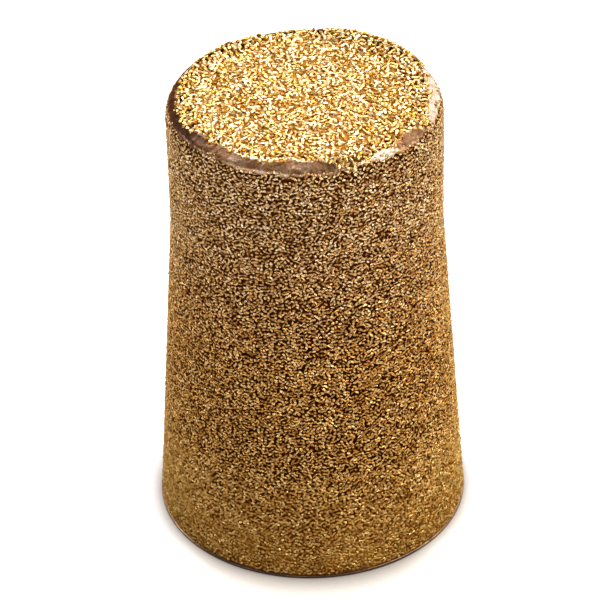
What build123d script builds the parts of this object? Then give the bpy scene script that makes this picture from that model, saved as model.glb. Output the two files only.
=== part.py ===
from build123d import *
import os

# Conical sintered bronze filter cup: closed at the small end, open at the large end.
# It stands on its open end, with +Z up the axis and the origin at the centre of the seat.
# All sizes are in millimetres.

# Outside form: a taper from the seat up to the knee, then a parallel land up to the closed end
cup_length = 19.05
seat_diameter = 12.72
land_diameter = 10.86
knee_height = 13.55
knee_blend_radius = 20.0

# Burnished band where the land meets the end face, rounded into the land at its foot
band_height = 0.45
band_width = 0.44
band_foot_radius = 0.7

# Pressed edge round the outside of the seat
seat_edge_chamfer = 0.05

# Blind bore, with the draft that lets the core pin out
wall_at_seat = 2.0
wall_at_end = 2.2
bore_end_diameter = 6.7
bore_end_fillet = 0.9
mouth_chamfer = 0.22

# Derived radii and heights
seat_radius = seat_diameter / 2
land_radius = land_diameter / 2
mouth_radius = seat_radius - wall_at_seat
bore_end_radius = bore_end_diameter / 2
bore_depth = cup_length - wall_at_end
bore_taper = (mouth_radius - bore_end_radius) / bore_depth


def circles_at(solid, height):
    """The circular edges of a solid that lie at one height on the axis."""
    return solid.edges().filter_by(GeomType.CIRCLE).filter_by_position(Axis.Z, height, height)


with BuildPart() as filter_cup:
    # Outer body, turned from its half section, with the knee eased as the mould leaves it
    with BuildSketch(Plane.XZ) as outer_half:
        with BuildLine() as outer_line:
            side = FilletPolyline(
                (seat_radius, 0),
                (land_radius, knee_height),
                (land_radius, cup_length),
                radius=knee_blend_radius,
            )
            Polyline(side @ 1, (0, cup_length), (0, 0), side @ 0)
        make_face()
    revolve(axis=Axis.Z)

    # Band pressed smooth round the closed end, with its foot rounded into the land
    end_face = filter_cup.faces().sort_by(Axis.Z)[-1]
    chamfer(end_face.edges(), length=band_width, length2=band_height, reference=end_face)
    fillet(circles_at(filter_cup, cup_length - band_height), radius=band_foot_radius)

    # Outer edge of the seat
    chamfer(circles_at(filter_cup, 0), length=seat_edge_chamfer)

    # Blind bore, drafted from the mouth to the end wall
    with BuildSketch(Plane.XZ) as bore_half:
        with BuildLine() as bore_line:
            Polyline(
                (0, 0),
                (mouth_radius, 0),
                (bore_end_radius, bore_depth),
                (0, bore_depth),
                close=True,
            )
        make_face()
    revolve(axis=Axis.Z, mode=Mode.SUBTRACT)

    # Corner left by the rounded tip of the core pin, and the eased mouth
    fillet(circles_at(filter_cup, bore_depth), radius=bore_end_fillet)
    mouth_edge = circles_at(filter_cup, 0).sort_by(SortBy.RADIUS)[0]
    chamfer(mouth_edge, length=mouth_chamfer)

filter_cup.part.label = "filter_cup"

os.makedirs("parts", exist_ok=True)
export_step(filter_cup.part, "parts/filter_cup.step")

wall_at_knee = land_radius - (mouth_radius - bore_taper * knee_height)
print(f"wall {wall_at_seat:.2f} mm at the seat, {wall_at_knee:.2f} mm at the knee, {wall_at_end:.2f} mm at the end")
print(f"volume {filter_cup.part.volume:.1f} mm3")
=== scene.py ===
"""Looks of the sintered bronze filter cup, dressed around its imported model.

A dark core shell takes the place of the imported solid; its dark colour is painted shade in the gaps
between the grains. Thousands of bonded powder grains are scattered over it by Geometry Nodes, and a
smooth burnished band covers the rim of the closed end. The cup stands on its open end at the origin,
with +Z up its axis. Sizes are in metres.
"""

import logging
import math
from collections.abc import Sequence
from dataclasses import dataclass
from enum import Enum
from typing import ClassVar

import bmesh
import bpy
import numpy as np
from bpy.types import Material, Mesh, Node, NodeSocket, Object
from mathutils import Matrix, Vector


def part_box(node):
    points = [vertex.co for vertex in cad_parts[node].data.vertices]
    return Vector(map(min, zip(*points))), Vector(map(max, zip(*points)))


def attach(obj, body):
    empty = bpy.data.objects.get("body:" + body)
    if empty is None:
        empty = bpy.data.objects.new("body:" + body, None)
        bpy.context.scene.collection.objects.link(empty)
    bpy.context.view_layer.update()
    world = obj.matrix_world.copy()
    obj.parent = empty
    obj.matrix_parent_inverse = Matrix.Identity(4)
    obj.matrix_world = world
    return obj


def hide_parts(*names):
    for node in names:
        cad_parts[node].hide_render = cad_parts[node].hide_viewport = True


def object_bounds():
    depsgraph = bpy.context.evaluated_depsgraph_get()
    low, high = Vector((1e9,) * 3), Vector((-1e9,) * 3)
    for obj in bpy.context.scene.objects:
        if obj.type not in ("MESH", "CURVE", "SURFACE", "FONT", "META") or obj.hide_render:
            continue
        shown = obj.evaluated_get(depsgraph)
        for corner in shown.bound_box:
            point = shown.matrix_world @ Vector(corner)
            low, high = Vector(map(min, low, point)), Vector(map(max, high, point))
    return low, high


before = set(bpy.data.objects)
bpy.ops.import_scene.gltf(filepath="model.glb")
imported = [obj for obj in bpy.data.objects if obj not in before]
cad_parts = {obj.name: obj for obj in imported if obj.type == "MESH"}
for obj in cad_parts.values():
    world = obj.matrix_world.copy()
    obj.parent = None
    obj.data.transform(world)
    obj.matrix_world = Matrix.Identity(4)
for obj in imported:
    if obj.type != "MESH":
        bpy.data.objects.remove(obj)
CAD_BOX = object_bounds()

MM = 0.001
MERGE_REACH = 1e-4 * MM
FLAT_REACH = 1e-5 * MM
NODE = "filter_cup"
BODY = "root"
BAKE_MAP = "OFBake"
NOISE_RANGE = (0.3, 0.7)
LOG = logging.getLogger("filter_cup")

Pair = tuple[float, float]
Table = tuple[Pair, ...]
Profile = list[Pair]
Colour = tuple[float, float, float]
ColourStops = Sequence[tuple[float, Colour]]

WHITE: Colour = (1.0, 1.0, 1.0)


def rgba(colour: Colour) -> tuple[float, float, float, float]:
    """The colour with full alpha, as Blender's colour sockets take it."""
    return (*colour, 1.0)


def toward(azimuth: float, elevation: float) -> Vector:
    """The direction at an azimuth from the camera's side and an elevation, both in radians."""
    level = math.cos(elevation)
    return Vector((math.sin(azimuth) * level, -math.cos(azimuth) * level, math.sin(elevation)))


@dataclass(frozen=True)
class CupForm:
    """Nominal form of the cup, which the tops of its grains reach.

    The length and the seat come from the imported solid, and the rest are the sizes of its mould.
    SLOPE_FOOT is the rim line's point where the sloped band meets its rounded foot, ARC_POINTS
    is how many points that foot has, and LEAST_TURNS is the fewest steps round the bore's corner.
    """

    SLOPE_FOOT: ClassVar[int] = 2
    ARC_POINTS: ClassVar[int] = 17
    LEAST_TURNS: ClassVar[int] = 4

    length: float
    seat_radius: float
    land_radius: float = 5.43 * MM
    knee_height: float = 13.55 * MM
    knee_blend: float = 20.0 * MM
    band_width: float = 0.44 * MM
    band_height: float = 0.45 * MM
    band_foot: float = 0.7 * MM
    seat_chamfer: float = 0.05 * MM
    mouth_radius: float = 4.36 * MM
    mouth_chamfer: float = 0.22 * MM
    bore_end_radius: float = 3.35 * MM
    bore_end_fillet: float = 0.9 * MM
    end_wall: float = 2.2 * MM

    @classmethod
    def from_frame(cls) -> "CupForm":
        """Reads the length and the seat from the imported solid.

        Returns:
            The cup's nominal form.
        """
        low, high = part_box(NODE)
        return cls(length=high.z, seat_radius=(high.x - low.x) / 2)

    @property
    def taper(self) -> float:
        """How much the outside narrows for each metre of height below the knee."""
        narrowing = self.seat_radius - self.land_radius
        return narrowing / (self.knee_height - self.seat_chamfer)

    @property
    def bore_depth(self) -> float:
        """Height of the flat inner end of the bore."""
        return self.length - self.end_wall

    @property
    def end_radius(self) -> float:
        """Radius of the flat end face inside the sloped band."""
        return self.land_radius - self.band_width

    def outer_radius(self, height: float) -> float:
        """Radius of the outside at a height, with the knee eased by an arc.

        Args:
            height: Height above the seat.

        Returns:
            The nominal radius there.
        """
        tangent = self.knee_blend * math.tan(math.atan(self.taper) / 2)
        if height >= self.knee_height + tangent:
            return self.land_radius
        if height <= self.knee_height - tangent:
            return self.land_radius + self.taper * (self.knee_height - height)
        drop = self.knee_height + tangent - height
        return self.land_radius + self.knee_blend - math.sqrt(self.knee_blend**2 - drop**2)

    def bore_radius(self, height: float) -> float:
        """Radius of the drafted bore at a height."""
        share = height / self.bore_depth
        return self.mouth_radius + (self.bore_end_radius - self.mouth_radius) * share

    def rim_line(self, inset: float) -> np.ndarray:
        """Points from the centre of the end face, over the rim and down the land.

        Args:
            inset: How far the line lies under the nominal surface.

        Returns:
            Radius and height of each point. Every inset gives the same number of points.
        """
        slant = math.atan2(self.band_width, self.band_height)
        corner = self.end_radius - inset * math.tan((math.pi / 2 - slant) / 2)
        eased = self.band_foot - inset
        middle_r = self.land_radius - self.band_foot
        middle_z = self.length - self.band_height - self.band_foot * math.tan(slant / 2)
        turns = np.linspace(slant, 0, self.ARC_POINTS)
        arc = np.stack([middle_r + eased * np.cos(turns), middle_z + eased * np.sin(turns)], axis=-1)
        top = self.length - inset
        foot = (self.land_radius - inset, self.knee_height)
        return np.array([(0.0, top), (corner, top), *arc.tolist(), foot])

    def rim_stations(self) -> np.ndarray:
        """Distance from the centre of the end face at each point of the nominal rim line."""
        steps = np.diff(self.rim_line(0.0), axis=0)
        return np.concatenate([[0.0], np.cumsum(np.hypot(steps[:, 0], steps[:, 1]))])

    def over_rim(self, distance: np.ndarray, inset: float = 0.0) -> np.ndarray:
        """Places at distances from the centre of the end face, over the rim and down the land.

        Args:
            distance: Distances along the nominal rim line.
            inset: How far the places lie under the nominal surface.

        Returns:
            Radius and height of each place, on a last axis of 2.
        """
        stations, line = self.rim_stations(), self.rim_line(inset)
        return np.stack([np.interp(distance, stations, line[:, k]) for k in (0, 1)], axis=-1)

    def outer_profile(self, low: float, high: float, step: float, inset: float) -> Profile:
        """Points up the outside, moved into the wall.

        Args:
            low: Height of the first point.
            high: Height of the last point.
            step: Longest distance between two points.
            inset: How far the points lie under the nominal surface.

        Returns:
            Radius and height of each point.
        """
        count = max(2, math.ceil((high - low) / step) + 1)
        heights = np.linspace(low, high, count)
        return [(self.outer_radius(z) - inset, float(z)) for z in heights]

    def bore_profile(self, step: float, inset: float) -> Profile:
        """Points down the inside, from the centre of the bore's end to its mouth.

        Args:
            step: Longest distance between two points.
            inset: How far the points lie inside the wall.

        Returns:
            Radius and height of each point.
        """
        radius = self.bore_end_fillet + inset
        centre_r = self.bore_end_radius - self.bore_end_fillet
        centre_z = self.bore_depth - self.bore_end_fillet
        flat = [(r, self.bore_depth + inset) for r in np.arange(0.0, centre_r, step)]
        turns = max(self.LEAST_TURNS, math.ceil(radius * math.pi / 2 / step))
        corner = [
            (centre_r + radius * math.sin(a), centre_z + radius * math.cos(a))
            for a in np.linspace(0, math.pi / 2, turns + 1)
        ]
        count = math.ceil((centre_z - self.mouth_chamfer) / step)
        heights = np.linspace(centre_z, self.mouth_chamfer, count + 1)[1:]
        wall = [(self.bore_radius(z) + inset, float(z)) for z in heights]
        return flat + corner + wall


def merge_doubles(mesh: Mesh) -> None:
    """Merges points that lie together, drops the flat faces they leave and turns the rest outwards.

    Args:
        mesh: The mesh, which is changed in place.
    """
    work = bmesh.new()
    work.from_mesh(mesh)
    bmesh.ops.remove_doubles(work, verts=work.verts, dist=MERGE_REACH)
    bmesh.ops.dissolve_degenerate(work, edges=work.edges, dist=FLAT_REACH)
    bmesh.ops.recalc_face_normals(work, faces=work.faces)
    work.to_mesh(mesh)
    work.free()


def revolved(
    name: str, columns: np.ndarray, merged: bool = False, shuffled: int | None = None
) -> Mesh:
    """Makes a surface that goes all the way round the axis.

    Args:
        name: Name of the mesh.
        columns: Radius and height of each point, as an array of columns by points by 2. Each
            column is one direction round the axis, and its points run so that the surface's
            outside is on their right when they go up.
        merged: Whether points that lie together, as at a pole, become one.
        shuffled: Seed that puts the faces in a random order, or None to leave them in rows.

    Returns:
        The mesh, with its faces pointing outwards.
    """
    around, along = columns.shape[:2]
    turn = np.arange(around) / around * 2 * math.pi
    radius, height = columns[..., 0], columns[..., 1]
    places = np.stack(
        [radius * np.sin(turn)[:, None], -radius * np.cos(turn)[:, None], height], axis=-1
    )
    here = np.arange(around)[:, None] * along + np.arange(along - 1)[None, :]
    after = (np.arange(around) + 1) % around
    there = after[:, None] * along + np.arange(along - 1)[None, :]
    faces = np.stack([here, there, there + 1, here + 1], axis=-1).reshape(-1, 4)
    if shuffled is not None:
        faces = np.random.default_rng(shuffled).permutation(faces)
    mesh = bpy.data.meshes.new(name)
    mesh.from_pydata(places.reshape(-1, 3).tolist(), [], faces.tolist())
    if merged:
        merge_doubles(mesh)
    mesh.polygons.foreach_set("use_smooth", [True] * len(mesh.polygons))
    mesh.update()
    return mesh


def same_all_round(profile: Sequence[Pair], around: int) -> np.ndarray:
    """The same profile in every direction, as columns for the function revolved."""
    return np.repeat(np.array(profile, float)[None, :, :], around, axis=0)


def points_of(mesh: Mesh) -> np.ndarray:
    """The places of a mesh's points."""
    return np.array([point.co for point in mesh.vertices])


def link(name: str, mesh: Mesh) -> Object:
    """Adds an object to the scene.

    Args:
        name: Name of the object.
        mesh: The mesh that it holds.

    Returns:
        The object.
    """
    made = bpy.data.objects.new(name, mesh)
    bpy.context.scene.collection.objects.link(made)
    return made


def store_patina_and_painted_light(mesh: Mesh, values: np.ndarray) -> None:
    """Stores how pale each point is, from 0 to 1, for a finish to read; the value paints light and
    shade.
    """
    stored = mesh.attributes.new("patina", "FLOAT", "POINT")
    stored.data.foreach_set("value", values)


def dress(piece: Object) -> Object:
    """Finishes a piece: attaches it to the body that it rides on, hides the imported part and logs
    its triangles.

    Args:
        piece: The finished piece.

    Returns:
        The same piece.
    """
    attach(piece, BODY)
    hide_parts(NODE)
    triangles = sum(len(face.vertices) - 2 for face in piece.data.polygons)
    LOG.info("%s: %d triangles", piece.name, triangles)
    return piece


class NodeTree:
    """Adds nodes to a shader or geometry tree and links them by socket name."""

    def __init__(self, tree: bpy.types.NodeTree) -> None:
        """Starts on a tree, with nothing in it."""
        self.tree = tree
        tree.nodes.clear()

    def add(self, kind: str, **settings: object) -> Node:
        """Adds one node.

        Args:
            kind: Blender's name for the type of node.
            settings: Properties of the node, such as its operation.

        Returns:
            The new node.
        """
        node = self.tree.nodes.new(kind)
        for key, value in settings.items():
            setattr(node, key, value)
        return node

    def feed(self, node: Node, **inputs: object) -> Node:
        """Sets or links a node's inputs.

        Args:
            node: The node that takes the inputs.
            inputs: For each input, by its name with spaces as underscores, an output socket to
                link or a value to set.

        Returns:
            The same node.
        """
        for key, value in inputs.items():
            socket = self.socket(node, key.replace("_", " "))
            if isinstance(value, NodeSocket):
                self.tree.links.new(value, socket)
            else:
                socket.default_value = value
        return node

    @staticmethod
    def socket(node: Node, name: str) -> NodeSocket:
        """Finds an input.

        Args:
            node: The node.
            name: The input's name, or i and its place among the node's enabled inputs.

        Returns:
            The enabled input.
        """
        enabled = [s for s in node.inputs if s.enabled]
        place = name.removeprefix("i")
        if place.isdigit():
            return enabled[int(place)]
        return next(s for s in enabled if s.name == name)

    @staticmethod
    def out(node: Node, name: str | None = None) -> NodeSocket:
        """The node's enabled output of that name, or its first enabled output."""
        enabled = [s for s in node.outputs if s.enabled]
        return enabled[0] if name is None else next(s for s in enabled if s.name == name)

    def maths(self, operation: str, *values: object) -> NodeSocket:
        """One step of arithmetic on numbers.

        Args:
            operation: Blender's name for the operation.
            values: Numbers or output sockets.

        Returns:
            The result's socket.
        """
        node = self.add("ShaderNodeMath", operation=operation)
        self.feed(node, **{f"i{place}": value for place, value in enumerate(values)})
        return self.out(node)

    def centred(self, value: NodeSocket, size: float, middle: float = 0.0) -> NodeSocket:
        """A value from 0 to 1 as one of this size, spread evenly about a middle."""
        return self.maths("MULTIPLY_ADD", value, size, middle - size / 2)

    def span(
        self,
        value: NodeSocket,
        source: tuple[object, object],
        target: Pair = (0.0, 1.0),
        eased: bool = False,
    ) -> NodeSocket:
        """Moves a value from one range to another and holds it there.

        Args:
            value: The value's socket.
            source: Ends of its range, as numbers or sockets.
            target: What they become.
            eased: Whether the change starts and ends gently.

        Returns:
            The result's socket.
        """
        kind = "SMOOTHSTEP" if eased else "LINEAR"
        node = self.add("ShaderNodeMapRange", interpolation_type=kind)
        self.feed(node, Value=value, From_Min=source[0], From_Max=source[1])
        self.feed(node, To_Min=target[0], To_Max=target[1])
        return self.out(node)

    def noise(
        self, place: NodeSocket, scale: float, detail: float, roughness: float
    ) -> NodeSocket:
        """Soft noise over a place.

        Args:
            place: Socket of the place.
            scale: How many patches there are to a metre.
            detail: How many finer layers lie on them.
            roughness: How strong each finer layer is.

        Returns:
            The noise's socket.
        """
        node = self.add("ShaderNodeTexNoise")
        self.feed(node, Vector=place, Scale=scale, Detail=detail, Roughness=roughness)
        return self.out(node)

    def blend(
        self, share: object, first: object, second: object, way: str = "MIX"
    ) -> NodeSocket:
        """Blends two colours.

        Args:
            share: How much of the second colour there is, as a number or a socket.
            first: The first colour, as a socket or with its alpha.
            second: The second colour.
            way: Blender's name for the way of blending.

        Returns:
            The colour's socket.
        """
        node = self.add("ShaderNodeMix", data_type="RGBA", blend_type=way)
        self.feed(node, Factor=share, A=first, B=second)
        return self.out(node)

    def coloured(self, value: NodeSocket, stops: ColourStops) -> NodeSocket:
        """Turns a value into a colour.

        Args:
            value: The value's socket.
            stops: Colours at some values, in rising order.

        Returns:
            The colour's socket.
        """
        node = self.feed(self.add("ShaderNodeValToRGB"), Fac=value)
        made = node.color_ramp.elements
        made.remove(made[-1])
        made[0].position, made[0].color = stops[0][0], rgba(stops[0][1])
        for position, colour in stops[1:]:
            made.new(position).color = rgba(colour)
        return self.out(node)

    def metal(
        self, colour: NodeSocket, rough: NodeSocket, edge: Colour, height: NodeSocket, relief: Pair
    ) -> None:
        """Ends a material's tree in bare metal.

        Args:
            colour: Socket of the colour.
            rough: Socket of the roughness.
            edge: Tint of what shines off the metal at a shallow angle.
            height: Socket of the height of its fine relief.
            relief: Strength and depth of the relief.
        """
        strength, depth = relief
        bump = self.add("ShaderNodeBump")
        self.feed(bump, Strength=strength, Distance=depth, Height=height)
        shader = self.add("ShaderNodeBsdfPrincipled")
        self.feed(shader, Base_Color=colour, Metallic=1.0, Roughness=rough)
        self.feed(shader, Specular_Tint=rgba(edge), Normal=self.out(bump))
        self.feed(self.add("ShaderNodeOutputMaterial"), Surface=self.out(shader))


def new_material(name: str) -> tuple[Material, NodeTree]:
    """Makes a material.

    Args:
        name: Name of the material.

    Returns:
        The material and its empty tree.
    """
    made = bpy.data.materials.new(name)
    made.use_nodes = True
    return made, NodeTree(made.node_tree)


@dataclass(frozen=True)
class Pebble:
    """Form of one family of grains, as shares of a grain's length, width and height.

    A grain is a rough nut: a point at its root, its waist, its shoulder and a short ridge.
    """

    sides: int = 5
    uneven: float = 0.2
    waist: Pair = (0.05, 0.4)
    shoulder: Pair = (0.5, 0.85)
    shoulder_height: Pair = (0.5, 0.9)
    ridge: float = 0.2
    ridge_height: float = 0.92
    slant: float = 0.55
    jitter: float = 0.12
    root: float = -0.5


FLAT_PEBBLE = Pebble(
    shoulder=(0.45, 0.8), shoulder_height=(0.80, 0.90), ridge=0.15, slant=0.8, jitter=0.03
)


class GrainShape:
    """A family of low-faced, elongated pebbles, which the scatter draws on.

    RISE is how far up the grain each part lies, and MAP_REACH is how far from the middle of its
    map.
    """

    RISE: ClassVar[dict[str, float]] = {
        "waist": 0.25, "shoulder": 0.75, "ridge": 1.0, "root": 0.0,
    }
    MAP_REACH: ClassVar[dict[str, float]] = {
        "waist": 0.36, "shoulder": 0.25, "ridge": 0.09, "root": 0.47,
    }

    def __init__(self, name: str, form: Pebble, variants: int, seed: int) -> None:
        """Makes the pebbles in a collection of their own, outside the scene.

        Args:
            name: Name of the collection.
            form: Form of the pebbles.
            variants: How many different pebbles to make.
            seed: Seed of their unevenness.
        """
        self.form = form
        self.collection = bpy.data.collections.new(name)
        random = np.random.default_rng(seed)
        for index in range(variants):
            mesh = self._pebble(f"{name}_{index}", random)
            self.collection.objects.link(bpy.data.objects.new(mesh.name, mesh))

    def _pebble(self, name: str, random: np.random.Generator) -> Mesh:
        """One pebble, about 1 long, wide and high, with its root below 0.

        Args:
            name: Name of the mesh.
            random: Source of its unevenness.

        Returns:
            The mesh, closed, with how far each point rises and a map of its own.
        """
        form, sides = self.form, self.form.sides
        turn = (np.arange(sides) + 0.5) / sides * 2 * math.pi
        turn += random.uniform(-1, 1, sides) * form.uneven
        wide = 0.5 * (1 + random.uniform(-1, 1, sides) * form.uneven)
        waist = np.stack(
            [wide * np.cos(turn), wide * np.sin(turn), random.uniform(*form.waist, sides)], axis=-1
        )
        slant = random.uniform(-form.slant, form.slant, 2)
        shoulder = waist * random.uniform(*form.shoulder, sides)[:, None]
        shoulder[:, 2] = random.uniform(*form.shoulder_height, sides) + shoulder[:, :2] @ slant
        ridge = random.uniform(-form.jitter, form.jitter, (2, 3)) + [0.0, 0.0, form.ridge_height]
        ridge[:, 0] += [form.ridge, -form.ridge]
        ridge[:, 2] += ridge[:, :2] @ slant
        ridge[:, 2] -= max(0.0, ridge[:, 2].max() - 1.0)
        points = [*waist.tolist(), *shoulder.tolist(), *ridge.tolist(), (0.0, 0.0, form.root)]
        mesh = bpy.data.meshes.new(name)
        mesh.from_pydata(points, [], self._faces(turn))
        rise = mesh.attributes.new("rise", "FLOAT", "POINT")
        rise.data.foreach_set("value", self._at_each_point(**self.RISE))
        self._lay_map(mesh, turn)
        return mesh

    def _faces(self, turn: np.ndarray) -> list[tuple[int, ...]]:
        """Lists a pebble's faces.

        Args:
            turn: Direction of each point of its rings.

        Returns:
            The points of each face.
        """
        sides = self.form.sides
        front, back, root = 2 * sides, 2 * sides + 1, 2 * sides + 2
        faces = []
        for here in range(sides):
            after = (here + 1) % sides
            faces.append((after, here, root))
            faces.append((here, after, sides + after, sides + here))
            tips = [front if math.cos(turn[k]) > 0 else back for k in (here, after)]
            faces.append((sides + here, sides + after, tips[1]))
            if tips[0] != tips[1]:
                faces.append((sides + here, tips[1], tips[0]))
        return faces

    def _at_each_point(
        self, waist: float, shoulder: float, ridge: float, root: float
    ) -> list[float]:
        """A value for each point of a pebble, from those of its four parts."""
        return [waist] * self.form.sides + [shoulder] * self.form.sides + [ridge, ridge, root]

    def _lay_map(self, mesh: Mesh, turn: np.ndarray) -> None:
        """Gives a pebble its own map: the top as a disc, with the root spread round it as a star.

        Args:
            mesh: The pebble.
            turn: Direction of each point of its rings.
        """
        sides = self.form.sides
        root = 2 * sides + 2
        angles = [*turn, *turn, 0.0, math.pi]
        reach = self._at_each_point(**self.MAP_REACH)
        layer = mesh.uv_layers.new(name=BAKE_MAP)
        for face in mesh.polygons:
            around = [turn[v % sides] % (2 * math.pi) for v in face.vertices if v < 2 * sides]
            if root in face.vertices:
                low, high = sorted(around)
                middle = (low + high) / 2 + (math.pi if high - low > math.pi else 0.0)
            for corner in face.loop_indices:
                vertex = mesh.loops[corner].vertex_index
                angle = middle if vertex == root else angles[vertex]
                layer.data[corner].uv = (
                    0.5 + reach[vertex] * math.cos(angle), 0.5 + reach[vertex] * math.sin(angle)
                )


@dataclass(frozen=True)
class GrainSize:
    """Sizes of the powder in one zone, with its tilt and spin in radians."""

    pitch: float = 0.124 * MM
    length: Pair = (0.20 * MM, 0.31 * MM)
    width: Pair = (0.118 * MM, 0.165 * MM)
    height: Pair = (0.08 * MM, 0.11 * MM)
    sunk: float = 0.02 * MM
    tilt: float = 0.26
    spin: float = 1.0


class Draw(Enum):
    """The random values of a grain, each with the number that sets it apart from the others."""

    SHAPE = 1
    SCALE = 2
    DEPTH = 3
    TONE = 4
    ROLL = 5
    LEAN = 6
    SPIN = 7


class GrainScatter:
    """The Geometry Nodes tree that bonds grains to a carrier surface.

    TRIALS is how many places are tried for a grain on a square of one pitch a side, and
    SEED_STEP is how far apart two zones' random values start.
    """

    INPUTS: ClassVar[dict[str, str]] = {
        "Pitch": "Float",
        "Trial Density": "Float",
        "Seed": "Int",
        "Smallest": "Vector",
        "Largest": "Vector",
        "Sunk": "Float",
        "Tilt": "Float",
        "Spin": "Float",
        "Shapes": "Collection",
        "Finish": "Material",
    }
    TRIALS: ClassVar[float] = 80.0
    SEED_STEP: ClassVar[float] = 16.0
    MOST_SHAPES: ClassVar[int] = 1000

    def __init__(self) -> None:
        """Builds the tree, which every zone shares."""
        self.group = bpy.data.node_groups.new("bonded_grains", "GeometryNodeTree")
        sockets = [("Geometry", "Geometry", "INPUT")]
        sockets += [(name, kind, "INPUT") for name, kind in self.INPUTS.items()]
        sockets += [("Geometry", "Geometry", "OUTPUT")]
        for name, kind, side in sockets:
            self.group.interface.new_socket(
                name=name, in_out=side, socket_type=f"NodeSocket{kind}"
            )
        self.nodes = NodeTree(self.group)
        self.given = self.nodes.add("NodeGroupInput").outputs
        self._build()

    def _build(self) -> None:
        """Adds the nodes: scatter, instance, sink, tone, realize, lay the map, set the finish."""
        nodes, given = self.nodes, self.given
        points = nodes.add("GeometryNodeDistributePointsOnFaces", distribute_method="POISSON")
        nodes.feed(points, Mesh=given["Geometry"], Seed=given["Seed"])
        nodes.feed(points, Distance_Min=given["Pitch"], Density_Max=given["Trial Density"])
        shapes = nodes.add("GeometryNodeCollectionInfo")
        nodes.feed(shapes, Collection=given["Shapes"], Separate_Children=True, Reset_Children=True)
        instances = nodes.feed(
            nodes.add("GeometryNodeInstanceOnPoints"),
            Points=nodes.out(points, "Points"),
            Instance=nodes.out(shapes),
            Pick_Instance=True,
            Instance_Index=self._random(Draw.SHAPE, "INT", 0, self.MOST_SHAPES),
            Rotation=self._turned(nodes.out(points, "Rotation")),
            Scale=self._random(Draw.SCALE, "FLOAT_VECTOR", given["Smallest"], given["Largest"]),
        )
        depth = self._random(Draw.DEPTH, "FLOAT", 0.0, 1.0)
        depth = nodes.maths("MULTIPLY", nodes.maths("MULTIPLY", depth, depth), given["Sunk"])
        sink = nodes.add("ShaderNodeCombineXYZ")
        nodes.feed(sink, Z=nodes.maths("MULTIPLY", depth, -1.0))
        lowered = nodes.add("GeometryNodeTranslateInstances")
        nodes.feed(lowered, Instances=nodes.out(instances), Local_Space=True)
        nodes.feed(lowered, Translation=nodes.out(sink))
        tone = self._random(Draw.TONE, "FLOAT", 0.0, 1.0)
        toned = self._store(nodes.out(lowered), "tone", "FLOAT", "INSTANCE", tone)
        place = nodes.out(nodes.add("GeometryNodeInputIndex"))
        numbered = self._store(toned, "cell", "FLOAT", "INSTANCE", place)
        solid = nodes.feed(nodes.add("GeometryNodeRealizeInstances"), Geometry=numbered)
        mapped = self._lay_cells(nodes.out(solid), numbered)
        finished = nodes.add("GeometryNodeSetMaterial")
        nodes.feed(finished, Geometry=mapped, Material=given["Finish"])
        nodes.feed(nodes.add("NodeGroupOutput"), Geometry=nodes.out(finished))

    def _random(self, draw: Draw, kind: str, low: object, high: object) -> NodeSocket:
        """A random value for each grain.

        Args:
            draw: Which of the grain's values it is.
            kind: Blender's name for the type of value.
            low: Lowest value, or the socket that gives it.
            high: Highest value, or the socket that gives it.

        Returns:
            The value's socket.
        """
        node = self.nodes.add("FunctionNodeRandomValue", data_type=kind)
        salt = float(draw.value)
        seed = self.nodes.maths("MULTIPLY_ADD", self.given["Seed"], self.SEED_STEP, salt)
        self.nodes.feed(node, Min=low, Max=high, Seed=seed)
        return self.nodes.out(node)

    def _turned(self, upright: NodeSocket) -> NodeSocket:
        """The grain's rotation: out of the surface, spun from lying level and tilted a little.

        Args:
            upright: Socket of the rotation that points out of the surface.

        Returns:
            The rotation's socket.
        """
        nodes, tilt, spin = self.nodes, self.given["Tilt"], self.given["Spin"]
        back = nodes.maths("MULTIPLY", tilt, -1.0)
        angles = nodes.feed(
            nodes.add("ShaderNodeCombineXYZ"),
            X=self._random(Draw.ROLL, "FLOAT", back, tilt),
            Y=self._random(Draw.LEAN, "FLOAT", back, tilt),
            Z=self._random(Draw.SPIN, "FLOAT", nodes.maths("MULTIPLY", spin, -1.0), spin),
        )
        own = nodes.feed(nodes.add("FunctionNodeEulerToRotation"), Euler=nodes.out(angles))
        turned = nodes.add("FunctionNodeRotateRotation", rotation_space="LOCAL")
        nodes.feed(turned, Rotation=upright, Rotate_By=nodes.out(own))
        return nodes.out(turned)

    def _store(
        self, geometry: NodeSocket, name: str, kind: str, domain: str, value: NodeSocket
    ) -> NodeSocket:
        """Stores a value on the geometry.

        Args:
            geometry: Socket of the geometry.
            name: Name that the value is stored under.
            kind: Blender's name for the type of value.
            domain: Blender's name for what has a value each.
            value: Socket of the value.

        Returns:
            The geometry's socket.
        """
        node = self.nodes.add("GeometryNodeStoreNamedAttribute", data_type=kind, domain=domain)
        self.nodes.feed(node, Geometry=geometry, Name=name, Value=value)
        return self.nodes.out(node)

    def _named(self, name: str, kind: str) -> NodeSocket:
        """The socket of a value that was stored under a name."""
        node = self.nodes.add("GeometryNodeInputNamedAttribute", data_type=kind)
        return self.nodes.out(self.nodes.feed(node, Name=name), "Attribute")

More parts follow.
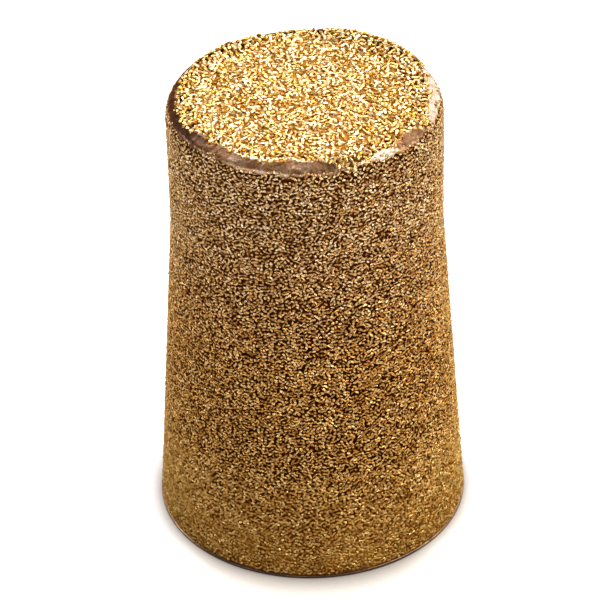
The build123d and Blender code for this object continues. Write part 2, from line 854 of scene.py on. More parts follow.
    def _lay_cells(self, solid: NodeSocket, instances: NodeSocket) -> NodeSocket:
        """Shrinks each grain's map into a cell of its own on one square map.

        Args:
            solid: The realized grains.
            instances: The grains before they were realized, which are counted.

        Returns:
            The socket of the grains with their map.
        """
        nodes = self.nodes
        size = nodes.add("GeometryNodeAttributeDomainSize", component="INSTANCES")
        nodes.feed(size, Geometry=instances)
        side = nodes.maths("CEIL", nodes.maths("SQRT", nodes.out(size)))
        cell = self._named("cell", "FLOAT")
        row = nodes.maths("FLOOR", nodes.maths("DIVIDE", nodes.maths("ADD", cell, 0.5), side))
        column = nodes.maths("SUBTRACT", cell, nodes.maths("MULTIPLY", row, side))
        corner = nodes.feed(nodes.add("ShaderNodeCombineXYZ"), X=column, Y=row)
        moved = nodes.add("ShaderNodeVectorMath", operation="ADD")
        nodes.feed(moved, i0=self._named(BAKE_MAP, "FLOAT_VECTOR"), i1=nodes.out(corner))
        share = nodes.add("ShaderNodeVectorMath", operation="SCALE")
        nodes.feed(share, i0=nodes.out(moved), Scale=nodes.maths("DIVIDE", 1.0, side))
        return self._store(solid, BAKE_MAP, "FLOAT2", "CORNER", nodes.out(share))

    def grow(
        self, carrier: Object, size: GrainSize, shape: GrainShape, finish: Material, seed: int
    ) -> Object:
        """Turns a carrier surface into the grains that grow on it.

        Args:
            carrier: The surface, which the grains replace.
            size: Sizes of the grains.
            shape: Pebbles to draw on.
            finish: Material of the grains.
            seed: Seed of the zone.

        Returns:
            The carrier's object, now a plain mesh of grains.
        """
        values = {
            "Pitch": size.pitch,
            "Trial Density": self.TRIALS / size.pitch**2,
            "Seed": seed,
            "Smallest": (size.length[0], size.width[0], size.height[0]),
            "Largest": (size.length[1], size.width[1], size.height[1]),
            "Sunk": size.sunk,
            "Tilt": size.tilt,
            "Spin": size.spin,
            "Shapes": shape.collection,
            "Finish": finish,
        }
        modifier = carrier.modifiers.new("bonded_grains", "NODES")
        modifier.node_group = self.group
        for item in self.group.interface.items_tree:
            if item.in_out == "INPUT" and item.name in values:
                modifier[item.identifier] = values[item.name]
        carrier.update_tag()
        graph = bpy.context.evaluated_depsgraph_get()
        grown = bpy.data.meshes.new_from_object(carrier.evaluated_get(graph))
        grown.name = carrier.name
        bare = carrier.data
        carrier.modifiers.clear()
        carrier.data = grown
        bpy.data.meshes.remove(bare)
        return carrier


@dataclass(frozen=True)
class GrainFinish:
    """Bonded bronze powder, with painted shade in the pores and up the lower sides of each grain, so
    that only the top of a grain shows its own colour.

    A grain's tone picks its colour, at STOPS for dark, body, bright and spark. PORE_SHADE_RISE is
    how far up a grain the painted shade of the pores gives way to its own colour, and
    WORN_AND_SHADE_FADE_HEIGHT is the share of the cup's length up which the grains are worn duller
    and that painted shade fades. SPARK_TONES are the tones from which a worn grain still glints. The
    tints are given by height, as a share of the cup's length, and on the side they paint light:
    darker and more golden low down, greyer and paler near the top.
    """

    CUP_LENGTH: ClassVar[float] = CAD_BOX[1][2]
    STOPS: ClassVar[tuple[float, ...]] = (0.08, 0.46, 0.86, 0.99)
    PORE_SHADE_RISE: ClassVar[Pair] = (0.28, 0.98)
    WORN_AND_SHADE_FADE_HEIGHT: ClassVar[float] = 0.32
    SPARK_TONES: ClassVar[Pair] = (0.86, 0.90)

    name: str
    dark: Colour
    body: Colour
    bright: Colour
    spark: Colour
    pore_shade: Colour
    edge: Colour = (0.88, 0.56, 0.26)
    tints: tuple[tuple[float, Colour], ...] = ((0.5, WHITE),)
    worn_and_shade_fade_below: float = 0.0
    dulling: float = 0.0
    mottle: float = 0.8
    mottle_scale: float = 15000.0
    drift: float = 0.12
    drift_scale: float = 420.0
    contrast: float = 0.6
    roughness: Pair = (0.16, 0.34)
    relief: Pair = (0.9, 0.020 * MM)

    def material(self) -> Material:
        """Builds the material.

        Returns:
            The material, which reads the grain's tone and rise and the place on the cup.
        """
        made, nodes = new_material(self.name)
        tone = nodes.add("ShaderNodeAttribute", attribute_name="tone").outputs["Fac"]
        rise = nodes.add("ShaderNodeAttribute", attribute_name="rise").outputs["Fac"]
        place = nodes.add("ShaderNodeTexCoord").outputs["Object"]
        mottle = nodes.noise(place, self.mottle_scale, detail=2.0, roughness=0.6)
        drift = nodes.noise(place, self.drift_scale, detail=3.0, roughness=0.55)
        shade = nodes.centred(tone, self.contrast, middle=0.5)
        shade = nodes.maths("ADD", shade, nodes.centred(mottle, self.mottle))
        shade = nodes.maths("ADD", shade, nodes.centred(drift, self.drift))
        parts = nodes.feed(nodes.add("ShaderNodeSeparateXYZ"), Vector=place)
        height = nodes.maths("DIVIDE", parts.outputs["Z"], self.CUP_LENGTH)
        colours = zip(self.STOPS, (self.dark, self.body, self.bright, self.spark))
        own = nodes.coloured(shade, list(colours))
        # Tints by height; on the side they paint light along the cup, darker and more golden low
        # down and greyer and paler near the top.
        tinted = nodes.blend(1.0, own, nodes.coloured(height, self.tints), "MULTIPLY")
        # Near the seat most grains are rougher and the painted shade of the pores fades out.
        worn_and_shade_fade = nodes.span(height, (0.0, self.WORN_AND_SHADE_FADE_HEIGHT), (self.worn_and_shade_fade_below, 0.0), eased=True)
        # Painted shade: low on each grain its colour gives way to the dark colour of the pores,
        # which stands for the shade between the grains.
        lift = nodes.span(nodes.maths("ADD", rise, worn_and_shade_fade), self.PORE_SHADE_RISE, eased=True)
        rough = nodes.span(mottle, NOISE_RANGE, self.roughness)
        keen = nodes.span(tone, self.SPARK_TONES, (self.dulling, 0.0))
        nodes.metal(
            colour=nodes.blend(lift, rgba(self.pore_shade), tinted),
            rough=nodes.maths("MULTIPLY_ADD", worn_and_shade_fade, keen, rough),
            edge=self.edge,
            height=mottle,
            relief=self.relief,
        )
        return made


@dataclass(frozen=True)
class BurnishedFinish:
    """Bronze smeared smooth under pressure, with soft mottling and fine drag marks.

    PATCH_SHARE is how much of the noise is in broad patches, and NOISE_ON_PATINA how much noise lies
    on the stored paleness, which paints light and shade.
    """

    PATCH_SHARE: ClassVar[float] = 0.6
    NOISE_ON_PATINA: ClassVar[float] = 1.1

    name: str
    dark: Colour
    middle: Colour
    light: Colour
    patch_scale: float = 900.0
    edge: Colour = WHITE
    grain_scale: float = 7000.0
    roughness: Pair = (0.24, 0.42)
    relief: Pair = (0.5, 0.012 * MM)

    def material(self) -> Material:
        """Builds the material.

        Returns:
            The material, which reads the stored paleness, which paints light and shade, and the
            place on the cup.
        """
        made, nodes = new_material(self.name)
        place = nodes.add("ShaderNodeTexCoord").outputs["Object"]
        patches = nodes.noise(place, self.patch_scale, detail=4.0, roughness=0.62)
        grain = nodes.noise(place, self.grain_scale, detail=3.0, roughness=0.6)
        blended = nodes.maths(
            "ADD",
            nodes.maths("MULTIPLY", patches, self.PATCH_SHARE),
            nodes.maths("MULTIPLY", grain, 1 - self.PATCH_SHARE),
        )
        # The stored paleness: painted light and shade, and on the rim band also a darker tarnish.
        patina = nodes.add("ShaderNodeAttribute", attribute_name="patina").outputs["Fac"]
        shade = nodes.maths("ADD", patina, nodes.centred(blended, self.NOISE_ON_PATINA))
        colours = ((0.0, self.dark), (0.5, self.middle), (1.0, self.light))
        nodes.metal(
            colour=nodes.coloured(nodes.span(shade, (0.0, 1.0), eased=True), colours),
            rough=nodes.span(grain, NOISE_RANGE, self.roughness),
            edge=self.edge,
            height=grain,
            relief=self.relief,
        )
        return made


class Finish(Enum):
    """The finishes of the cup."""

    SIDE = GrainFinish(
        name="side_powder",
        dark=(0.41, 0.225, 0.070),
        body=(0.64, 0.415, 0.160),
        bright=(0.85, 0.65, 0.37),
        spark=(0.92, 0.79, 0.48),
        # Painted shade in the pores and low on each grain.
        pore_shade=(0.09, 0.012, 0.0),
        edge=(0.95, 0.78, 0.54),
        # Painted light along the side: darker and more golden low down, greyer and paler near the
        # top.
        tints=(
            (0.05, (0.655, 0.58, 0.365)), (0.22, (0.77, 0.665, 0.465)),
            (0.50, (0.86, 0.74, 0.55)), (0.78, (0.925, 0.885, 0.93)), (0.93, (0.95, 0.945, 1.05)),
        ),
        worn_and_shade_fade_below=0.5,
        dulling=0.6,
        contrast=0.8,
        roughness=(0.12, 0.28),
        relief=(0.9, 0.035 * MM),
    )
    END = GrainFinish(
        name="end_powder",
        dark=(0.69, 0.46, 0.085),
        body=(0.84, 0.67, 0.35),
        bright=(0.92, 0.82, 0.58),
        spark=(0.97, 0.94, 0.80),
        # Painted shade in the pores and low on each grain, golden on the end face.
        pore_shade=(0.53, 0.23, 0.0),
        edge=(0.80, 0.48, 0.14),
    )
    BORE = GrainFinish(
        name="bore_powder",
        dark=(0.50, 0.26, 0.08),
        body=(0.68, 0.40, 0.145),
        bright=(0.82, 0.54, 0.23),
        spark=(0.93, 0.72, 0.36),
        # Painted shade in the pores and low on each grain.
        pore_shade=(0.16, 0.05, 0.006),
    )
    # The core shell's dark colours are painted shade between the grains; its stored paleness
    # lightens them by height and in the bore.
    CORE = BurnishedFinish(
        name="pore_floor",
        dark=(0.015, 0.003, 0.0),
        middle=(0.13, 0.030, 0.001),
        light=(0.46, 0.20, 0.022),
        grain_scale=6000.0,
        roughness=(0.6, 0.8),
        relief=(0.8, 0.012 * MM),
    )
    # The rim band's light colour paints the lamps' highlights where its stored paleness is high.
    BAND = BurnishedFinish(
        name="burnished_rim",
        dark=(0.095, 0.050, 0.038),
        middle=(0.40, 0.217, 0.118),
        light=(0.97, 0.82, 0.72),
        edge=(0.62, 0.45, 0.36),
        patch_scale=1500.0,
        grain_scale=11000.0,
        relief=(0.7, 0.012 * MM),
    )
    # The seat edge's dark colours paint the shadow line along the cup's foot.
    SEAT = BurnishedFinish(
        name="pressed_seat_edge",
        dark=(0.07, 0.042, 0.034),
        middle=(0.13, 0.078, 0.056),
        light=(0.52, 0.32, 0.18),
        patch_scale=1500.0,
    )


class FinishBook:
    """Builds each finish's material once."""

    def __init__(self) -> None:
        """Starts with no material built."""
        self.built: dict[Finish, Material] = {}

    def material(self, finish: Finish) -> Material:
        """Gives a finish's material, built the first time it is asked for.

        Args:
            finish: The finish.

        Returns:
            Its material.
        """
        if finish not in self.built:
            self.built[finish] = finish.value.material()
        return self.built[finish]


@dataclass
class RimBand:
    """The burnished band round the closed end, with uneven, ragged edges.

    It slopes straight down from the grains of the end face to the land. Both edges wander with the
    grains, and its paleness changes round the rim: where it is pale, at 20 to 40 degrees and on the
    right side, it paints the lamps' highlights, and on the left and back it is partly painted shade
    and partly a darker tarnish. Each table gives values at azimuths in degrees from the camera's
    side. The inner edge is given by its radius and the outer edge by its height, both in
    millimetres.
    """

    form: CupForm
    finishes: FinishBook
    columns: int = 720
    rows: int = 9
    thickness: float = 0.10 * MM
    relief: float = 0.008 * MM
    ragged: float = 0.18 * MM
    outer_ragged: float = 0.7
    teeth: tuple[tuple[int, float], ...] = ((44, 0.5), (130, 0.55), (240, 0.35))
    least_width: float = 0.06 * MM
    least_run: float = 0.001 * MM
    sunk: float = 0.01 * MM
    sunk_edge: float = 0.03 * MM
    sunk_foot: float = 0.06 * MM
    foot_share: float = 0.4
    seed: int = 11
    coarse: Table = (
        (-180, 1.0), (-64, 1.0), (-58, 2.2), (-50, 2.2), (-46, 1.4), (12, 1.4), (19, 6.0),
        (39, 7.0), (43, 1.0),
    )
    inner_edge: Table = (
        (-180, 4.98), (-150, 4.94), (-125, 5.02), (-100, 4.94), (-80, 4.98), (-62, 4.97),
        (-50, 4.70), (-38, 4.76), (-26, 4.93), (-14, 4.84), (-4, 4.66), (6, 4.74), (12, 4.98),
        (15, 5.12), (19, 5.28), (25, 5.24), (29, 5.08), (36, 5.03), (39, 5.06), (43, 4.96),
        (46, 4.86), (54, 4.86), (60, 4.96), (63, 5.22), (67, 5.22), (71, 4.86), (90, 4.78),
        (105, 4.84), (112, 5.02), (120, 5.16), (165, 5.16), (172, 5.04),
    )
    outer_edge: Table = (
        (-180, 18.70), (-120, 18.64), (-60, 18.65), (0, 18.65), (14, 18.68), (20, 18.79),
        (34, 18.79), (42, 18.68), (58, 18.70), (64, 18.78), (72, 18.76), (104, 18.74),
        (120, 18.70),
    )
    # Paleness round the rim: painted highlights at 20 to 40 degrees and 72 to 108 degrees, and on
    # the left and back painted shade with a darker tarnish.
    patina: Table = (
        (-180, 0.0), (-110, 0.0), (-90, 0.02), (-62, 0.02), (-56, 0.16), (-50, 0.30),
        (-42, 0.32), (-32, 0.52), (-20, 0.50), (0, 0.47), (12, 0.34), (20, 0.56), (29, 0.76),
        (37, 0.76), (43, 0.46), (60, 0.46), (72, 0.88), (90, 1.0), (108, 0.85), (122, 0.2),
        (140, 0.0),
    )

    def __post_init__(self) -> None:
        """Works out both edges, as distances from the centre of the end face."""
        random = np.random.default_rng(self.seed)
        self.azimuth = (np.arange(self.columns) / self.columns * 360 + 180) % 360 - 180
        stations, line = self.form.rim_stations(), self.form.rim_line(0.0)
        inner = np.interp(self.round_the_rim(self.inner_edge) * MM, line[:, 0], stations)
        outer = np.interp(-self.round_the_rim(self.outer_edge) * MM, -line[:, 1], stations)
        self.inner = inner + self._jagged(random, self.ragged)
        jagged = outer + self._jagged(random, self.ragged * self.outer_ragged)
        self.outer = np.maximum(jagged, self.inner + self.least_width)

    def round_the_rim(self, given: Table) -> np.ndarray:
        """Values for every column from values given at some azimuths, in degrees."""
        table = np.array([*given, (180, given[0][1])])
        return np.interp(self.azimuth, *table.T)

    def _jagged(self, random: np.random.Generator, size: float) -> np.ndarray:
        """An uneven offset for each column, with steps about as long as a grain.

        Args:
            random: Source of the unevenness.
            size: How far the offset reaches to each side.

        Returns:
            The offsets.
        """
        at = np.arange(self.columns) / self.columns
        total = np.zeros(self.columns)
        for teeth, share in self.teeth:
            steps = random.uniform(-1, 1, teeth)
            total += share * np.interp(at * teeth, np.arange(teeth + 1), np.append(steps, steps[0]))
        return size * total

    def _sloped(self, along: np.ndarray) -> np.ndarray:
        """Places on the band, which runs straight from its inner edge to the foot of the slope.

        Args:
            along: Distances from the centre of the end face, with a row for each column.

        Returns:
            Radius and height of each place, on a last axis of 2.
        """
        line = self.form.over_rim(along)
        slope_foot = self.form.rim_stations()[self.form.SLOPE_FOOT]
        start = line[:, :1] - [0.0, self.sunk_edge]
        foot = self.form.over_rim(np.array(slope_foot))
        run = np.maximum(slope_foot - self.inner, self.least_run)[:, None]
        part = np.clip((along - self.inner[:, None]) / run, 0, 1)[..., None]
        straight = start * (1 - part) + foot * part
        return np.where(along[..., None] < slope_foot, straight, line)

    def _uneven(self, shape: tuple[int, int]) -> np.ndarray:
        """Fine relief, drawn out round the rim and coarser where the band is rough.

        Args:
            shape: Numbers of columns and rows.

        Returns:
            Height of each point, as a share of the relief.
        """
        drawn = np.random.default_rng(self.seed + 1).uniform(-1, 1, shape)
        smeared = (drawn + np.roll(drawn, 1, 0) + np.roll(drawn, 2, 0)) / 2
        return smeared * self.round_the_rim(self.coarse)[:, None]

    def build(self) -> Object:
        """Makes the band as a closed, uneven ribbon.

        Returns:
            The finished piece.
        """
        share = np.linspace(0, 1, self.rows)
        along = self.inner[:, None] * (1 - share) + self.outer[:, None] * share
        line = self._sloped(along)
        way = np.gradient(line, axis=1)
        outward = np.stack([-way[..., 1], way[..., 0]], axis=-1)
        outward /= np.linalg.norm(outward, axis=-1, keepdims=True)
        turned_in = np.clip((share - (1 - self.foot_share)) / self.foot_share, 0, 1) ** 2
        lift = self._uneven(along.shape) * self.relief - self.sunk - self.sunk_foot * turned_in
        top = line + outward * lift[..., None]
        under = top - outward * self.thickness
        ring = np.concatenate([top, under[:, ::-1], top[:, :1]], axis=1)[:, ::-1]
        mesh = revolved("rim_band", ring)
        store_patina_and_painted_light(mesh, np.repeat(self.round_the_rim(self.patina), ring.shape[1]))
        merge_doubles(mesh)
        mesh.materials.append(self.finishes.material(Finish.BAND))
        return dress(link("rim_band", mesh))


@dataclass
class CoreShell:
    """The dark wall that shows between the grains, whose colour is painted shade in the gaps.

    Its shoulder is given by how far each point lies outside the end face's radius and below the
    closed end, and its paleness, which sets how dark that painted shade is, by height in
    millimetres.
    """

    form: CupForm
    finishes: FinishBook
    depth: float = 0.085 * MM
    seat_depth: float = 0.075 * MM
    foot: float = 0.12 * MM
    worn: float = 0.03 * MM
    worn_top: float = 5.0 * MM
    land_drop: float = 0.75 * MM
    shoulder: Table = (
        (0.11 * MM, 0.43 * MM), (-0.49 * MM, 0.145 * MM), (-0.8 * MM, 0.085 * MM),
    )
    paleness: Table = (
        (0.0, 0.62), (2.5, 0.45), (6.0, 0.12), (11.0, 0.09), (15.0, 0.28), (18.4, 0.34),
        (18.7, 1.0),
    )
    bore_paleness: float = 0.6
    bore_reach: Pair = (4.6 * MM, 17.5 * MM)
    step: float = 0.8 * MM
    around: int = 120

    def build(self) -> Object:
        """Makes the shell as one closed mesh round the wall.

        Returns:
            The finished piece.
        """
        form = self.form
        bore = form.bore_profile(self.step, self.depth)
        seat = [(bore[-1][0], self.seat_depth), (form.seat_radius - self.depth, self.seat_depth)]
        high = form.length - self.land_drop
        outside = form.outer_profile(self.foot, high, self.step, self.depth)
        outside = [(r + self.worn * max(0.0, 1 - z / self.worn_top), z) for r, z in outside]
        end = [(form.end_radius + out, form.length - down) for out, down in self.shoulder]
        profile = bore + seat + outside + end + [(0.0, end[-1][1])]
        mesh = revolved("core_shell", same_all_round(profile, self.around), merged=True)
        mesh.materials.append(self.finishes.material(Finish.CORE))
        places = points_of(mesh)
        # How pale the painted shade between the grains is: set by height, and paler in the bore.
        pale = np.interp(places[:, 2], *np.array(self.paleness).T * [[MM], [1]])
        radius, top = self.bore_reach
        in_bore = (np.hypot(places[:, 0], places[:, 1]) < radius) & (places[:, 2] < top)
        store_patina_and_painted_light(mesh, np.where(in_bore, self.bore_paleness, pale))
        return dress(link("core_shell", mesh))


@dataclass
class SeatEdge:
    """The pressed smooth ring where the outside meets the seat, whose dark colour is a painted
    shadow line along the foot.

    Its paleness is given by azimuth in degrees to either side of the camera's side: the painted
    shadow is darkest towards the camera and fades to the sides.
    """

    form: CupForm
    finishes: FinishBook
    height: float = 0.11 * MM
    depth: float = 0.12 * MM
    bulge_share: float = 0.7
    bulge_inset: float = 0.005 * MM
    top_inset: float = 0.03 * MM
    back_inset: float = 0.04 * MM
    around: int = 360
    paleness: Table = ((0, 0.35), (28, 0.35), (58, 0.80), (180, 0.80))

    def build(self) -> Object:
        """Makes the ring as a closed section turned round the axis.

        Returns:
            The finished piece.
        """
        form = self.form
        foot = form.seat_radius - form.seat_chamfer
        outer = form.outer_radius(self.height)
        profile = [
            (foot - self.depth, 0.0),
            (foot, 0.0),
            (form.outer_radius(form.seat_chamfer), form.seat_chamfer),
            (outer - self.bulge_inset, self.height * self.bulge_share),
            (outer - self.top_inset, self.height),
            (outer - self.depth - self.back_inset, self.height),
            (foot - self.depth, 0.0),
        ]
        mesh = revolved("seat_edge", same_all_round(profile, self.around), merged=True)
        places = points_of(mesh)
        azimuth = np.degrees(np.abs(np.arctan2(places[:, 0], -places[:, 1])))
        # The painted shadow is darkest on the camera's side and paler to the sides.
        store_patina_and_painted_light(mesh, np.interp(azimuth, *np.array(self.paleness).T))
        mesh.materials.append(self.finishes.material(Finish.SEAT))
        return dress(link("seat_edge", mesh))


@dataclass
class GrainSkin:
    """The powder skin of the whole cup, zone by zone.

    The taper's zones are given by the height that each reaches. The end face's edge swells by
    end_lift, in millimetres at azimuths in degrees from the camera's side. The swelling starts
    at lift_start, counted in widths of lift_width from the centre, and is full one width on.
    """

    form: CupForm
    band: RimBand
    finishes: FinishBook
    side_size: GrainSize = GrainSize()
    end_size: GrainSize = GrainSize(
        pitch=0.155 * MM,
        length=(0.26 * MM, 0.42 * MM),
        width=(0.15 * MM, 0.21 * MM),
        spin=math.pi,
    )
    bore_size: GrainSize = GrainSize(
        pitch=0.25 * MM,
        length=(0.31 * MM, 0.45 * MM),
        width=(0.24 * MM, 0.33 * MM),
        spin=math.pi,
    )
    seat_size: GrainSize = GrainSize(
        pitch=0.16 * MM,
        length=(0.22 * MM, 0.33 * MM),
        width=(0.16 * MM, 0.21 * MM),
        tilt=0.12,
    )
    taper_zones: tuple[tuple[str, float], ...] = (
        ("lower_taper_grains", 4.65 * MM),
        ("middle_taper_grains", 9.35 * MM),
        ("upper_taper_grains", 14.24 * MM),
    )
    end_lift: Table = (
        (-180, 0.02), (-165, -0.02), (-148, 0.08), (-130, 0.05), (-115, 0.0), (60, 0.0),
        (98, 0.03), (106, 0.12), (116, 0.19), (150, 0.21), (166, 0.14), (174, 0.03),
    )
    lift_width: float = 0.8 * MM
    lift_start: float = 4.9
    low_end: float = 0.175 * MM
    under_band: float = 0.15 * MM
    onto_band: float = 0.08 * MM
    mouth_gap: float = 0.1 * MM
    edge_gap: float = 0.16 * MM
    seat_inset: float = 0.015 * MM
    centre_share: float = 0.002
    land_rows: int = 27
    end_rows: int = 20
    seat_rows: int = 6
    around: int = 240
    step: float = 0.18 * MM

    @property
    def inset(self) -> float:
        """How far the carriers lie under the nominal surface."""
        return self.side_size.height[1]

    def build(self) -> list[Object]:
        """Grows every zone.

        Returns:
            The finished pieces.
        """
        scatter = GrainScatter()
        nuts = GrainShape("round_grains", Pebble(), variants=12, seed=3)
        chips = GrainShape("flat_grains", FLAT_PEBBLE, variants=10, seed=3)
        side = (Finish.SIDE, nuts, self.side_size)
        zones = []
        low = self.low_end
        for seed, (name, high) in enumerate(self.taper_zones, start=21):
            profile = self.form.outer_profile(low, high, self.step, self.inset)
            zones.append((name, seed, same_all_round(profile, self.around), *side))
            low = high
        bore = self.form.bore_profile(self.step, self.inset)
        bore = same_all_round(bore, self.around)
        zones += [
            ("land_grains", 31, self._land(), *side),
            ("end_grains", 41, self._end(), Finish.END, chips, self.end_size),
            ("bore_grains", 51, bore, Finish.BORE, nuts, self.bore_size),
            ("seat_grains", 61, self._seat(), Finish.BORE, nuts, self.seat_size),
        ]
        made = []
        for name, seed, columns, finish, shape, size in zones:
            carrier = link(name, revolved(name, columns, shuffled=seed))
            material = self.finishes.material(finish)
            made.append(dress(scatter.grow(carrier, size, shape, material, seed)))
        return made

    def _land(self) -> np.ndarray:
        """Columns up the land, to just under the band's ragged lower edge.

        Returns:
            The columns.
        """
        top = self.band.outer[::2] - self.under_band
        taper_top = self.taper_zones[-1][1]
        start = self.form.rim_stations()[-1] - (taper_top - self.form.knee_height)
        share = np.linspace(0, 1, self.land_rows)
        return self.form.over_rim(start + (top[:, None] - start) * share, self.inset)

    def _end(self) -> np.ndarray:
        """Columns across the end face, from the band's ragged inner edge to the centre.

        Returns:
            The columns.
        """
        edge = self.band.inner[::2] + self.onto_band
        flat = np.minimum(edge, self.form.end_radius)
        share = np.linspace(1, self.centre_share, self.end_rows)
        along = np.concatenate([edge[:, None], flat[:, None] * share], axis=1)
        places = self.form.over_rim(along, self.inset)
        lift = self.band.round_the_rim(self.end_lift)[::2, None] * MM
        near = np.clip(places[..., 0] / self.lift_width - self.lift_start, 0, 1)
        places[..., 1] += lift * near**2 * (3 - 2 * near)
        return places

    def _seat(self) -> np.ndarray:
        """Columns across the seat, from the mouth of the bore outwards.

        Returns:
            The columns.
        """
        low = self.form.mouth_radius + self.mouth_gap
        high = self.form.seat_radius - self.form.seat_chamfer - self.edge_gap
        height = self.inset + self.seat_inset
        profile = [(r, height) for r in np.linspace(low, high, self.seat_rows)]
        return same_all_round(profile, self.around)


@dataclass(frozen=True)
class SoftLamp:
    """One soft rectangular lamp, aimed at the middle of the cup, with its angles in degrees."""

    name: str
    azimuth: float
    elevation: float
    distance: float
    width: float
    height: float
    radiance: float
    colour: Colour = (0.95, 1.0, 1.06)

    def build(self, target: Vector) -> Object:
        """Adds the lamp, unseen by the camera.

        Args:
            target: Point that it faces.

        Returns:
            The lamp.
        """
        lamp = bpy.data.lights.new(self.name, "AREA")
        lamp.shape = "RECTANGLE"
        lamp.size, lamp.size_y = self.width, self.height
        lamp.energy = self.radiance * math.pi * self.width * self.height
        lamp.color = self.colour
        made = bpy.data.objects.new(self.name, lamp)
        way = toward(math.radians(self.azimuth), math.radians(self.elevation))
        made.location = target + way * self.distance
        made.rotation_euler = (-way).to_track_quat("-Z", "Y").to_euler()
        made.visible_camera = False
        bpy.context.scene.collection.objects.link(made)
        return made


@dataclass
class Studio:
    """The pale floor, the soft light and the camera at the photograph's angle.

    The camera's distance is in lengths of the cup, and its angles are in radians. The room is
    shaded by the direction looked in: horizon_span is along Z and back_span along Y. A lamp is
    given by its azimuth, elevation, distance, width, height and radiance.
    """

    form: CupForm
    floor_half: float = 0.9
    floor_drop: float = 0.01 * MM
    floor_colour: Colour = (0.71, 0.72, 0.735)
    floor_lift: float = 0.85
    floor_gloss: float = 0.1
    # The contact settings shape the painted contact shadow round the cup's foot, with its dark
    # colour and warm tint.
    contact: float = 2.6 * MM
    contact_samples: int = 16
    contact_dark: float = 0.46
    contact_reach: Pair = (0.76, 0.94)
    contact_front: Pair = (0.6, 1.0)
    painted_shadow_colour: Colour = (0.12, 0.09, 0.08)
    painted_shadow_warmth: Colour = (1.0, 0.86, 0.78)
    room_front: float = 0.30
    room_horizon: float = 0.5
    room_back: float = 0.3
    horizon_span: Pair = (0.0, 0.3)
    back_span: Pair = (-0.1, 0.8)
    room_colour: Colour = (1.0, 0.80, 0.54)
    picture: int = 600
    focal_pixels: float = 3122.15
    middle_pixel: Pair = (308.73, 295.41)
    camera_elevation: float = 0.6127
    camera_roll: float = -0.022
    camera_distance: float = 6.6172
    camera_clip: Pair = (0.01, 10.0)
    lamps: tuple[SoftLamp, ...] = (
        SoftLamp("back_softbox", 180, 44, 0.34, 0.40, 0.32, 1.42),
        SoftLamp("back_key", -170, 38, 0.33, 0.15, 0.12, 7.0),
        SoftLamp("right_key", 68, 46, 0.36, 0.18, 0.18, 9.5, (1.0, 0.93, 0.76)),
        SoftLamp("right_panel", 98, 30, 0.34, 0.12, 0.16, 0.6),
        SoftLamp("far_panel", 140, 9, 0.36, 0.16, 0.10, 1.8),
        SoftLamp("low_lamp_1", -105, 12, 0.36, 0.08, 0.08, 9.0),
        SoftLamp("low_lamp_2", -48, 16, 0.36, 0.08, 0.08, 8.5),
        SoftLamp("low_lamp_3", -10, 12, 0.36, 0.08, 0.08, 8.5),
        SoftLamp("low_lamp_4", 26, 12, 0.36, 0.08, 0.08, 6.0),
        SoftLamp("low_lamp_5", 84, 12, 0.36, 0.08, 0.08, 8.0),
    )

    def build(self) -> None:
        """Adds everything round the cup."""
        target = Vector((0, 0, self.form.length / 2))
        self._floor()
        self._room()
        self._camera(target)
        for lamp in self.lamps:
            lamp.build(target)
        bpy.context.scene.view_settings.view_transform = "Standard"

    def _floor(self) -> None:
        """Adds the floor, white to the camera but for the cup's shadow, which the lamps cast and
        which is also painted near the cup's foot.
        """
        half, low = self.floor_half, -self.floor_drop
        corners = [(-half, -half, low), (half, -half, low), (half, half, low), (-half, half, low)]
        mesh = bpy.data.meshes.new("floor")
        mesh.from_pydata(corners, [], [(0, 1, 2, 3)])
        material, nodes = new_material("floor_card")
        clear = self._clear_of_painted_shadow(nodes)
        # Painted contact shadow: the floor's colour darkens near the cup.
        tone = nodes.blend(clear, rgba(self.painted_shadow_colour), rgba(self.floor_colour))
        card = nodes.feed(nodes.add("ShaderNodeBsdfDiffuse"), Color=tone)
        ray = nodes.add("ShaderNodeLightPath").outputs
        # The whitening lift fades in the painted shadow.
        seen = nodes.maths("MULTIPLY", ray["Is Camera Ray"], self.floor_lift)
        seen = nodes.maths("MULTIPLY", seen, clear)
        gloss = nodes.maths("MULTIPLY", ray["Is Glossy Ray"], self.floor_gloss)
        # Painted warm tint in the contact shadow.
        lift_colour = nodes.blend(clear, rgba(self.painted_shadow_warmth), rgba(WHITE))
        lift = nodes.add("ShaderNodeEmission")
        nodes.feed(lift, Color=lift_colour, Strength=nodes.maths("ADD", seen, gloss))
        both = nodes.feed(nodes.add("ShaderNodeAddShader"), i0=nodes.out(card), i1=nodes.out(lift))
        nodes.feed(nodes.add("ShaderNodeOutputMaterial"), Surface=nodes.out(both))
        mesh.materials.append(material)
        link("floor", mesh)

    def _clear_of_painted_shadow(self, nodes: NodeTree) -> NodeSocket:
        """How clear a place on the floor is of the painted contact shadow where the cup stands.

        The painted shadow is broadest on the side that faces the camera.

        Args:
            nodes: The tree of the floor's material.

        Returns:
            Socket of a value from 0 in the painted shadow to 1 away from it.
        """
        near = nodes.add("ShaderNodeAmbientOcclusion", samples=self.contact_samples)
        nodes.feed(near, Distance=self.contact)
        way = nodes.add("ShaderNodeVectorMath", operation="NORMALIZE")
        nodes.feed(way, i0=nodes.add("ShaderNodeTexCoord").outputs["Object"])
        parts = nodes.feed(nodes.add("ShaderNodeSeparateXYZ"), Vector=nodes.out(way))
        front = nodes.maths("MULTIPLY", parts.outputs["Y"], -1.0)
        reach = nodes.span(front, self.contact_front, self.contact_reach, eased=True)
        return nodes.span(near.outputs["AO"], (self.contact_dark, reach))

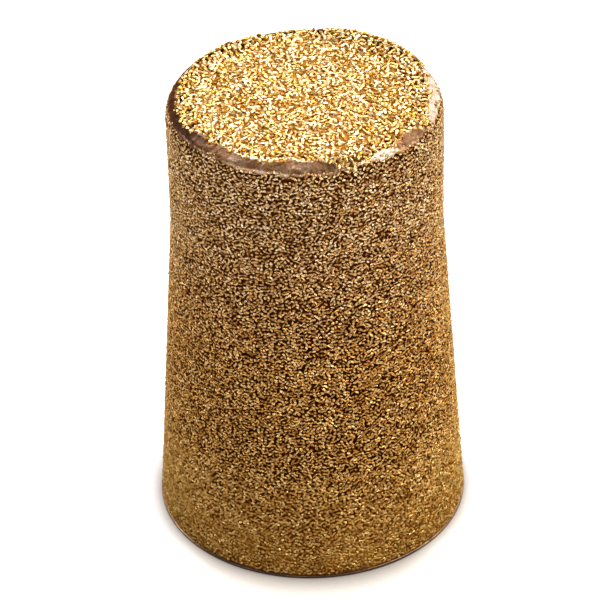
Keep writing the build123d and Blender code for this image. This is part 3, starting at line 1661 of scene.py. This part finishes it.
    def _room(self) -> None:
        """Sets the world: a plain warm room, palest at the horizon and brighter behind the cup."""
        world = bpy.data.worlds.new("studio_room")
        world.use_nodes = True
        nodes = NodeTree(world.node_tree)
        way = nodes.add("ShaderNodeTexCoord").outputs["Generated"]
        parts = nodes.feed(nodes.add("ShaderNodeSeparateXYZ"), Vector=way).outputs
        steep = nodes.maths("ABSOLUTE", parts["Z"])
        front = (self.room_horizon, self.room_front)
        horizon = nodes.span(steep, self.horizon_span, front, eased=True)
        behind = nodes.span(parts["Y"], self.back_span, (0.0, self.room_back), eased=True)
        light = nodes.add("ShaderNodeBackground")
        nodes.feed(light, Color=rgba(self.room_colour))
        nodes.feed(light, Strength=nodes.maths("ADD", horizon, behind))
        nodes.feed(nodes.add("ShaderNodeOutputWorld"), Surface=nodes.out(light))
        bpy.context.scene.world = world

    def _camera(self, target: Vector) -> None:
        """Adds the camera where the photograph was taken from.

        Args:
            target: Point that the camera's axis passes through.
        """
        data = bpy.data.cameras.new("photo_camera")
        data.sensor_fit = "HORIZONTAL"
        data.lens = self.focal_pixels / self.picture * data.sensor_width
        data.shift_x = (self.picture / 2 - self.middle_pixel[0]) / self.picture
        data.shift_y = (self.middle_pixel[1] - self.picture / 2) / self.picture
        data.clip_start, data.clip_end = self.camera_clip
        camera = bpy.data.objects.new("photo_camera", data)
        back = toward(0.0, self.camera_elevation)
        place = target + back * self.camera_distance * self.form.length
        aim = (-back).to_track_quat("-Z", "Y").to_matrix().to_4x4()
        roll = Matrix.Rotation(self.camera_roll, 4, "Z")
        camera.matrix_world = Matrix.Translation(place) @ aim @ roll
        bpy.context.scene.collection.objects.link(camera)
        bpy.context.scene.camera = camera


def main() -> None:
    """Builds the cup's looks in order."""
    logging.basicConfig(level=logging.INFO, format="%(name)s %(message)s")
    form = CupForm.from_frame()
    finishes = FinishBook()
    Studio(form).build()
    CoreShell(form, finishes).build()
    band = RimBand(form, finishes)
    band.build()
    SeatEdge(form, finishes).build()
    pieces = GrainSkin(form, band, finishes).build()
    LOG.info("%d grain pieces", len(pieces))


if __name__ == "__main__":
    main()
